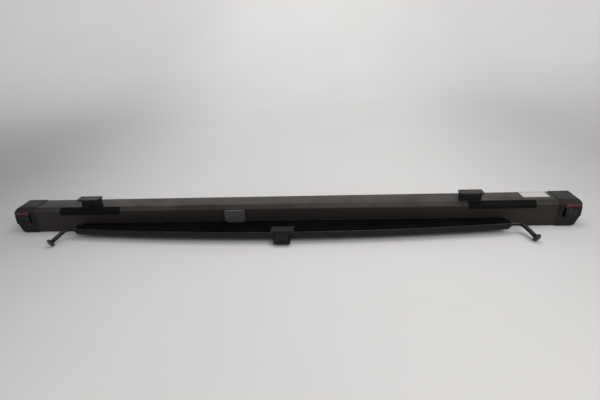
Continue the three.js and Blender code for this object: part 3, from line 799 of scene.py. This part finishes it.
for side in SIDES:
    cap = softened(side + "_end_cap", side + "_cap", rounding=0.0006, segments=3)
    finish_piece(cap, "housing", "cap_plastic", cap_charcoal, side + "_end_cap")
    plate = softened(side + "_guide_plate", side + "_plate", rounding=0.0005)
    finish_piece(plate, "housing", "trim_grey", trim_grey, side + "_guide_plate")
    mark = softened(side + "_lock_indicator", side + "_red_mark", rounding=0.0004)
    finish_piece(mark, "housing", "indicator_red", signal_red, side + "_lock_indicator")
    slider = softened(side + "_lock_slider", side + "_slider", rounding=0.0005)
    finish_piece(slider, side + "_slider", "trim_grey", trim_grey, side + "_lock_slider")
    sprung_coil(
        side + "_lock_spring",
        side + "_slider_coil",
        "housing",
    )


# ---- Cap screws ----
# Four zinc-plated self-tapping screws hold the caps through the back wall.
# Each has a low domed head with a hexagon socket.
SCREW_SHRINK = 0.98
SCREW_HEAD_SEAT = 0.0016
SCREW_EDGE_HEIGHT = 0.0009
# How far in and how far up each step of the domed head goes.
SCREW_DOME = ((0.0005, 0.0004), (0.0007, 0.0002))
SOCKET_TOP = 0.0015
SOCKET_RADIUS = 0.0013
SOCKET_DEPTH = 0.0008
for side in SIDES:
    for number in ("1", "2"):
        node = f"{side}_cap_screw_{number}"
        low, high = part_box(node)
        head_radius = (high.z - low.z) / 2
        screw_x, screw_z = (low.x + high.x) / 2, (low.z + high.z) / 2
        bm = bmesh.new()
        bmesh.ops.create_circle(
            bm, cap_ends=True, segments=24, radius=head_radius * SCREW_SHRINK
        )
        head = bmesh.ops.extrude_face_region(bm, geom=bm.faces[:])["geom"]
        top = of_kind(head, bmesh.types.BMFace)
        bmesh.ops.translate(bm, verts=top[0].verts[:], vec=(0, 0, SCREW_EDGE_HEIGHT))
        for inset, rise in SCREW_DOME:
            bmesh.ops.inset_individual(bm, faces=top, thickness=inset, depth=rise)
        crown = top[0].edges[:]
        bmesh.ops.delete(bm, geom=top, context="FACES_ONLY")
        bmesh.ops.create_circle(
            bm,
            segments=6,
            radius=SOCKET_RADIUS,
            matrix=Matrix.Translation((0, 0, SOCKET_TOP)),
        )
        hexagon = [edge for edge in bm.edges if edge.is_wire]
        bmesh.ops.bridge_loops(bm, edges=crown + hexagon)
        walls = bmesh.ops.extrude_edge_only(bm, edges=hexagon)["geom"]
        floor = of_kind(walls, bmesh.types.BMVert)
        bmesh.ops.translate(bm, verts=floor, vec=(0, 0, -SOCKET_DEPTH))
        bmesh.ops.contextual_create(bm, geom=floor)
        bmesh.ops.recalc_face_normals(bm, faces=bm.faces)
        bmesh.ops.transform(
            bm,
            verts=bm.verts,
            matrix=Matrix.Translation((screw_x, high.y - SCREW_HEAD_SEAT, screw_z))
            @ Matrix.Rotation(-math.pi / 2, 4, "X"),
        )
        screw = mesh_object(f"{side}_screw_{number}", bm)
        finish_piece(screw, "housing", "zinc_steel", zinc, node)


# ---- Seat hooks and their rivets ----
# Two hooks of pressed steel, black coated, stand up through slots in the
# housing's top. Two rivets, coated with it, hold each foot under the top wall.
for side in SIDES:
    hook = softened(side + "_hook", side + "_seat_hook", rounding=0.0005, segments=3)
    finish_piece(hook, "housing", "hook_steel", black_coat, side + "_hook")
    for number in ("1", "2"):
        node = f"{side}_hook_rivet_{number}"
        rivet = softened(node, f"{side}_rivet_{number}", rounding=0.0004, segments=3)
        finish_piece(rivet, "housing", "zinc_steel", black_coat, node)


# ---- Rubber guards ----
# Strips of black rubber are bonded over the front top edge below each hook,
# where the housing would rub on the seat back.
rubber, tree, shader = new_material("black_rubber", roughness=0.8, specular=0.1)
place = put(tree, "TexCoord")
bloom = put(
    tree,
    "TexNoise",
    values={"Scale": 70.0, "Detail": 6.0, "Roughness": 0.6},
    links={"Vector": place.outputs["Object"]},
)
aged = put(
    tree,
    "Mix",
    data_type="RGBA",
    values={"A": (0.0035, 0.0035, 0.0035, 1), "B": (0.0075, 0.0075, 0.007, 1)},
    links={"Factor": bloom.outputs["Fac"]},
)
texture = use(tree, moulded_grain, Size=0.0006)
matt_skin = put(
    tree,
    "Bump",
    values={"Strength": 0.3, "Distance": 0.0001},
    links={"Height": texture.outputs["Height"]},
)
gloss = put(
    tree,
    "MapRange",
    values={"To Min": 0.68, "To Max": 0.92},
    links={"Value": bloom.outputs["Fac"]},
)
tree.links.new(aged.outputs["Result"], shader.inputs["Base Color"])
tree.links.new(gloss.outputs["Result"], shader.inputs["Roughness"])
tree.links.new(matt_skin.outputs["Normal"], shader.inputs["Normal"])
for side in SIDES:
    guard = softened(side + "_edge_guard", side + "_guard", rounding=0.00035)
    finish_piece(guard, "housing", "guard_rubber", rubber, side + "_edge_guard")


# ---- Blank label ----
# A white film label is stuck near the right end of the top. It has a thin
# grey border and no print.
label_low, label_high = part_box("blank_label")
label_middle = (label_low + label_high) / 2
BORDER_INSET = 0.0022
BORDER_WIDTH = 0.0006
film, tree, shader = new_material("white_label_film", roughness=0.4)
place = put(tree, "TexCoord")
centred = put(
    tree,
    "Mapping",
    vector_type="POINT",
    values={"Location": (-label_middle.x, -label_middle.y, 0)},
    links={"Vector": place.outputs["Object"]},
)
across = put(tree, "SeparateXYZ", links={"Vector": centred.outputs["Vector"]})
edge_gaps = []
for axis, half in (
    ("X", (label_high.x - label_low.x) / 2),
    ("Y", (label_high.y - label_low.y) / 2),
):
    distance = put(tree, "Math", operation="ABSOLUTE", links={0: across.outputs[axis]})
    gap = put(
        tree,
        "Math",
        operation="SUBTRACT",
        values={0: half},
        links={1: distance.outputs["Value"]},
    )
    edge_gaps.append(gap.outputs["Value"])
nearest = put(
    tree, "Math", operation="MINIMUM", links={0: edge_gaps[0], 1: edge_gaps[1]}
)
border = put(
    tree,
    "Math",
    operation="COMPARE",
    values={1: BORDER_INSET, 2: BORDER_WIDTH / 2},
    links={0: nearest.outputs["Value"]},
)
smudges = put(
    tree,
    "TexNoise",
    values={"Scale": 60.0, "Detail": 5.0},
    links={"Vector": place.outputs["Object"]},
)
white = put(
    tree,
    "Mix",
    data_type="RGBA",
    values={"A": (0.5, 0.485, 0.46, 1), "B": (0.64, 0.625, 0.6, 1)},
    links={"Factor": smudges.outputs["Fac"]},
)
bordered = put(
    tree,
    "Mix",
    data_type="RGBA",
    values={"B": (0.2, 0.2, 0.2, 1)},
    links={"Factor": border.outputs["Value"], "A": white.outputs["Result"]},
)
tree.links.new(bordered.outputs["Result"], shader.inputs["Base Color"])
label = softened("blank_label", "white_label", rounding=0.00012)
finish_piece(label, "housing", "label_paper", film, "blank_label")


# ---- Release tab ----
# A grey moulded tab on the front is pressed in to free the net. A small
# spring on a steel bracket pushes it back.
tab = softened("release_tab", "press_tab", rounding=0.0006, segments=3)
# The light edge tint paints a highlight on the tab's rim, along with wear.
tab_grey = moulded_plastic(
    "tab_grey_plastic",
    (0.06, 0.056, 0.057, 1),
    (0.085, 0.08, 0.081, 1),
    roughness=0.42,
    edge_tint=(0.34, 0.33, 0.33, 1),
)
finish_piece(tab, "release", "trim_grey", tab_grey, "release_tab")
sprung_coil(
    "release_spring",
    "tab_coil",
    "housing",
)
dress("spring_bracket", black_coat)


# ---- Net bar ----
# A black moulded bar, bowed forward in the middle, holds the front edge of
# the net. Its lower outer corners are cut away, and a bush closes each end.
BAR_BOW = 0.025
BAR_DEPTH = 0.016
BAR_CORNER = Vector((0.006, 0, 0.0065))
bar_low, bar_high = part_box("net_bar")
bar_half = bar_high.x
# The light edge tint paints the highlight along the bar's top front edge, along with
# wear.
bar_black = moulded_plastic(
    "black_bar_plastic",
    (0.006, 0.0056, 0.0053, 1),
    (0.0105, 0.0098, 0.0092, 1),
    roughness=0.4,
    grain=0.0008,
    edge_tint=(0.2, 0.19, 0.18, 1),
    dust_amount=0.04,
)


def cut_lower_corners(bm):
    """Slices off the bar's lower outer corners and closes the cuts."""
    for sign in SIDES.values():
        corner = Vector((sign * bar_half, 0, bar_low.z + BAR_CORNER.z))
        slope = Vector((sign * BAR_CORNER.z, 0, -BAR_CORNER.x)).normalized()
        sliced = bmesh.ops.bisect_plane(
            bm,
            geom=bm.verts[:] + bm.edges[:] + bm.faces[:],
            dist=1e-6,
            plane_co=corner,
            plane_no=slope,
            clear_outer=True,
        )["geom_cut"]
        bmesh.ops.holes_fill(bm, edges=of_kind(sliced, bmesh.types.BMEdge), sides=0)


bar = softened("net_bar", "bowed_bar", rounding=0.0003, trim=cut_lower_corners)
finish_piece(bar, "net_bar", "bar_plastic", bar_black, "net_bar")


# ---- Sprung end rods ----
# A black-coated steel rod slides in each end of the bar, pushed out by a
# coil spring. It bends forward, and its end is upset into a mushroom head.
ROD_RADIUS = 0.004
ROD_IN_BAR = 0.036
ROD_REACH = 0.022
BEND_TANGENT = 0.009
ARM = Vector((0.012, -0.036, -0.0096))
HEAD_RADIUS = 0.0083
HEAD_THICKNESS = 0.003
ROD_SHARP_ANGLE = math.radians(50)
BUSH_SINK = 0.0004
BUSH_LENGTH = 0.0012
BUSH_GAP = 0.0002
BUSH_RIM = 0.0014
spring_low, spring_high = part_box("right_rod_spring")
rod_y = (spring_low.y + spring_high.y) / 2
rod_z = (spring_low.z + spring_high.z) / 2
arm_way = ARM.normalized()
bend_angle = Vector((1, 0, 0)).angle(arm_way)
bend_radius = BEND_TANGENT / math.tan(bend_angle / 2)
inward = (arm_way - Vector((1, 0, 0)) * arm_way.x).normalized()
bend_start = Vector((bar_half + ROD_REACH - BEND_TANGENT, rod_y, rod_z))
rod_coat = coated_steel(
    "gloss_black_rod",
    (0.003, 0.003, 0.0028, 1),
    (0.005, 0.005, 0.0047, 1),
    roughness=0.18,
    specular=0.32,
    dust_amount=0.02,
)
# How far each ring of the head lies past the arm's end, and its radius.
HEAD_RINGS = (
    (-0.005, ROD_RADIUS),
    (-0.0038, ROD_RADIUS + 0.0002),
    (-0.0012, ROD_RADIUS + 0.0012),
    (0.0003, HEAD_RADIUS - 0.0007),
    (0.0007, HEAD_RADIUS - 0.0001),
    (0.0011, HEAD_RADIUS),
    (0.0019, HEAD_RADIUS),
    (0.0024, HEAD_RADIUS - 0.0004),
    (HEAD_THICKNESS - 0.0003, HEAD_RADIUS - 0.0014),
)

for side, sign in SIDES.items():
    bm = bmesh.new()
    bmesh.ops.create_circle(
        bm,
        cap_ends=False,
        segments=24,
        radius=ROD_RADIUS,
        matrix=Matrix.Translation((bar_half - ROD_IN_BAR, rod_y, rod_z))
        @ Matrix.Rotation(math.pi / 2, 4, "Y"),
    )
    bmesh.ops.contextual_create(bm, geom=bm.edges[:])
    ring = bm.edges[:]
    straight = bmesh.ops.extrude_edge_only(bm, edges=ring)["geom"]
    bmesh.ops.translate(
        bm,
        verts=of_kind(straight, bmesh.types.BMVert),
        vec=(ROD_IN_BAR + ROD_REACH - BEND_TANGENT, 0, 0),
    )
    ring = of_kind(straight, bmesh.types.BMEdge)
    ring = [edge for edge in ring if all(v.co.x > bar_half for v in edge.verts)]
    bend = bmesh.ops.spin(
        bm,
        geom=ring + list({v for edge in ring for v in edge.verts}),
        cent=bend_start + inward * bend_radius,
        axis=Vector((1, 0, 0)).cross(inward),
        angle=bend_angle,
        steps=10,
    )["geom_last"]
    ring = of_kind(bend, bmesh.types.BMEdge)
    arm_end = Vector((bar_half + ROD_REACH, rod_y, rod_z)) + ARM
    for beyond, radius in HEAD_RINGS:
        step = bmesh.ops.extrude_edge_only(bm, edges=ring)["geom"]
        verts = of_kind(step, bmesh.types.BMVert)
        middle = sum((v.co for v in verts), Vector()) / len(verts)
        target = arm_end + arm_way * beyond
        bmesh.ops.translate(bm, verts=verts, vec=target - middle)
        for vert in verts:
            vert.co = target + (vert.co - target).normalized() * radius
        moved = set(verts)
        ring = [
            edge
            for edge in of_kind(step, bmesh.types.BMEdge)
            if moved.issuperset(edge.verts)
        ]
    bmesh.ops.contextual_create(bm, geom=ring)
    if sign < 0:
        bmesh.ops.scale(bm, verts=bm.verts, vec=(-1, 1, 1))
    bmesh.ops.recalc_face_normals(bm, faces=bm.faces)
    rod = mesh_object(side + "_end_rod", bm)
    shade_smooth(rod)
    rod.data.set_sharp_from_angle(angle=ROD_SHARP_ANGLE)
    finish_piece(rod, side + "_rod", "rod_steel", rod_coat, side + "_rod")
    sprung_coil(
        side + "_rod_spring",
        side + "_rod_coil",
        "net_bar",
    )

    bm = bmesh.new()
    bush_x = sign * (bar_half - BUSH_SINK)
    inner = bm.verts.new((bush_x, rod_y, rod_z + ROD_RADIUS + BUSH_GAP))
    outer = bm.verts.new((bush_x, rod_y, rod_z + ROD_RADIUS + BUSH_RIM))
    lip = bm.edges.new((inner, outer))
    collar = bmesh.ops.extrude_edge_only(bm, edges=[lip])["geom"]
    bmesh.ops.translate(
        bm, verts=of_kind(collar, bmesh.types.BMVert), vec=(sign * BUSH_LENGTH, 0, 0)
    )
    bmesh.ops.spin(
        bm,
        geom=bm.edges[:] + bm.verts[:],
        cent=(0, rod_y, rod_z),
        axis=(1, 0, 0),
        angle=2 * math.pi,
        steps=28,
        use_merge=True,
    )
    bmesh.ops.recalc_face_normals(bm, faces=bm.faces)
    bush = mesh_object(side + "_bar_bush", bm)
    finish_piece(bush, "net_bar", "bar_plastic", bar_black)


# ---- Woven hem ----
# A strip of black woven polyester is sewn round the net's front edge and
# clipped on the bar. From the bar it slopes back to the slit.
HEM_THICKNESS = 0.0009
HEM_FRONT_GAP = 0.0028
HEM_TOP_GAP = 0.0002
HEM_KINK_INSET = 0.0012
HEM_CUT_DEPTH = 0.056
HEM_SAG = 0.0011
SAG_WAVES = 38
HEM_RIPPLE = 0.00012
RIPPLE_WAVES = 260
SLIT_RISE = 0.0007
hem_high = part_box("net_hem")[1]
skirt_low, skirt_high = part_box("net_skirt")
hem_half = hem_high.x
hem_top = hem_high.z - HEM_THICKNESS / 2 - HEM_TOP_GAP
slit_z = skirt_low.z + SLIT_RISE
bar_radius = (bar_half**2 + BAR_BOW**2) / (2 * BAR_BOW)


def bar_front(x):
    """The y of the bar's front face at a place along it."""
    return bar_low.y + bar_radius - math.sqrt(bar_radius**2 - x**2)


def hem_point(x, across):
    """A point of the hem; across goes from 0 at the slit to 1 at the front."""
    kink = bar_front(x) + BAR_DEPTH - HEM_KINK_INSET
    front = bar_front(x) + HEM_FRONT_GAP
    slope, flat = skirt_high.y - kink, kink - front
    gone = across * (slope + flat)
    if gone < slope:
        share = gone / slope
        uneven = 1 + 0.5 * math.sin(SAG_WAVES * x)
        sag = HEM_SAG * math.sin(math.pi * share) * uneven
        lift = slit_z + (hem_top - slit_z) * share - sag
        return Vector((x, skirt_high.y - gone, lift))
    ripple = HEM_RIPPLE * math.sin(RIPPLE_WAVES * x)
    return Vector((x, skirt_high.y - gone, hem_top + ripple))


bm = bmesh.new()
bmesh.ops.create_grid(bm, x_segments=140, y_segments=18, size=0.5, calc_uvs=True)
weave_uv = bm.loops.layers.uv.verify()
for face in bm.faces:
    for loop in face.loops:
        loop[weave_uv].uv = (
            (loop.vert.co.x + 0.5) * 2 * hem_half,
            (loop.vert.co.y + 0.5) * HEM_CUT_DEPTH,
        )
for vert in bm.verts:
    vert.co = hem_point(vert.co.x * 2 * hem_half, vert.co.y + 0.5)
bmesh.ops.recalc_face_normals(bm, faces=bm.faces)
hem = mesh_object("woven_hem", bm)
shade_smooth(hem)
cloth_body = hem.modifiers.new("cloth_thickness", "SOLIDIFY")
cloth_body.thickness = HEM_THICKNESS
cloth_body.offset = 0

woven, tree, shader = new_material("woven_polyester", roughness=0.95, specular=0.0)
place = put(tree, "TexCoord")
threads = []
for bands, stretch in (("X", (1, 0, 0)), ("Y", (0, 1, 0))):
    direction = put(
        tree,
        "VectorMath",
        operation="MULTIPLY",
        values={1: stretch},
        links={0: place.outputs["UV"]},
    )
    wave = put(
        tree,
        "TexWave",
        bands_direction=bands,
        values={"Scale": 260.0, "Distortion": 0.0},
        links={"Vector": direction.outputs["Vector"]},
    )
    threads.append(wave.outputs["Fac"])
weave = put(tree, "Math", operation="MULTIPLY", links={0: threads[0], 1: threads[1]})
# The cloth is darker than the polyester's own black: painted shade for the gap between
# the housing and the bar.
shaded_cloth_black = put(
    tree,
    "Mix",
    data_type="RGBA",
    values={"A": (0.0018, 0.0018, 0.0018, 1), "B": (0.0055, 0.0054, 0.0052, 1)},
    links={"Factor": weave.outputs["Value"]},
)
lint = use(tree, fine_dust, Amount=0.02)
linty = put(
    tree,
    "Mix",
    data_type="RGBA",
    values={"B": (0.24, 0.235, 0.23, 1)},
    links={"Factor": lint.outputs["Mask"], "A": shaded_cloth_black.outputs["Result"]},
)
raised = put(
    tree,
    "Bump",
    values={"Strength": 0.6, "Distance": 0.0003},
    links={"Height": weave.outputs["Value"]},
)
tree.links.new(linty.outputs["Result"], shader.inputs["Base Color"])
tree.links.new(raised.outputs["Normal"], shader.inputs["Normal"])
finish_piece(hem, "net_bar", "netting", woven, "net_hem", "net_skirt")

SEAM_OFFSETS = (0.0022, 0.0108)
SEAM_END_GAP = 0.004
STITCH_PITCH = 0.005
STITCH_SIZE = Vector((0.0016, 0.00025, 0.00022))
bm = bmesh.new()
stitch_count = int(2 * (hem_half - SEAM_END_GAP) / STITCH_PITCH)
for seam in SEAM_OFFSETS:
    for number in range(stitch_count):
        x = (number - (stitch_count - 1) / 2) * STITCH_PITCH
        stitch = bmesh.ops.create_uvsphere(
            bm, u_segments=6, v_segments=4, radius=1
        )["verts"]
        bmesh.ops.scale(bm, verts=stitch, vec=STITCH_SIZE)
        seat = (x, bar_front(x) + HEM_FRONT_GAP + seam, hem_top + HEM_THICKNESS / 2)
        bmesh.ops.translate(bm, verts=stitch, vec=seat)
stitching = mesh_object("hem_stitching", bm)
finish_piece(stitching, "net_bar", "netting", netting)


# ---- Netting in the slit ----
# The netting that the bar draws out is a diamond mesh of 24 mm. At rest it lies gathered
# in the slit.
MESH_SIZE = 0.0242
CORD_WIDTH = 0.0015
CORD_FLATNESS = 0.7
NET_SIDE_GAP = 0.004
LEAD_DROP = -math.radians(23.7)
LEAD_SHRINK = 0.9
SLIT_INSIDE = 0.0018
SLIT_OUTSIDE = 0.0001
ROWS = round(NET_LENGTH / MESH_SIZE)
COLUMNS = round(2 * hem_half / MESH_SIZE)
slit_in = skirt_high.y + SLIT_INSIDE
slit_out = skirt_high.y - SLIT_OUTSIDE
bm = bmesh.new()
bmesh.ops.create_grid(bm, x_segments=COLUMNS, y_segments=ROWS + 1, size=0.5)
bmesh.ops.scale(
    bm, verts=bm.verts, vec=(net_width - NET_SIDE_GAP, NET_LENGTH + MESH_SIZE, 1)
)
bmesh.ops.translate(bm, verts=bm.verts, vec=(0, (NET_LENGTH - MESH_SIZE) / 2, 0))
squares = [edge for edge in bm.edges if not edge.is_boundary]
bmesh.ops.poke(bm, faces=bm.faces[:])
bmesh.ops.dissolve_edges(bm, edges=squares)
bmesh.ops.wireframe(
    bm,
    faces=bm.faces[:],
    thickness=CORD_WIDTH,
    offset=0,
    use_replace=True,
    use_boundary=True,
    use_even_offset=False,
)
# The first row slopes back to the roller. The others lie gathered in the slit, spaced by
# the inverse of a smooth step.
for vert in bm.verts:
    out, lift = vert.co.y, vert.co.z * CORD_FLATNESS
    if out < 0:
        vert.co.y = slit_in - out * math.cos(LEAD_DROP) * LEAD_SHRINK
        vert.co.z = slit_z + lift - out * math.sin(LEAD_DROP) * LEAD_SHRINK
        continue
    share = min(out / NET_LENGTH, 1.0)
    eased = 0.5 - math.sin(math.asin(1 - 2 * share) / 3)
    vert.co.y = slit_in + (slit_out - slit_in) * eased
    vert.co.z = slit_z + lift
drawn_net = mesh_object("drawn_net", bm)
drawn_net.data.materials.append(netting)
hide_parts("net_lead")
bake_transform(drawn_net)


# ---- Pull handle ----
# A black moulded handle clips over the hem and the bar's front, and its
# grip flares at the bottom so that fingers can pull the net out.
handle = softened("pull_handle", "handle", rounding=0.0008, segments=3)
handle_black = moulded_plastic(
    "handle_plastic",
    (0.005, 0.0049, 0.0046, 1),
    (0.008, 0.0078, 0.0073, 1),
    roughness=0.45,
    edge_tint=(0.2, 0.195, 0.185, 1),
    dust_amount=0.015,
)
finish_piece(handle, "net_bar", "bar_plastic", handle_black, "pull_handle")
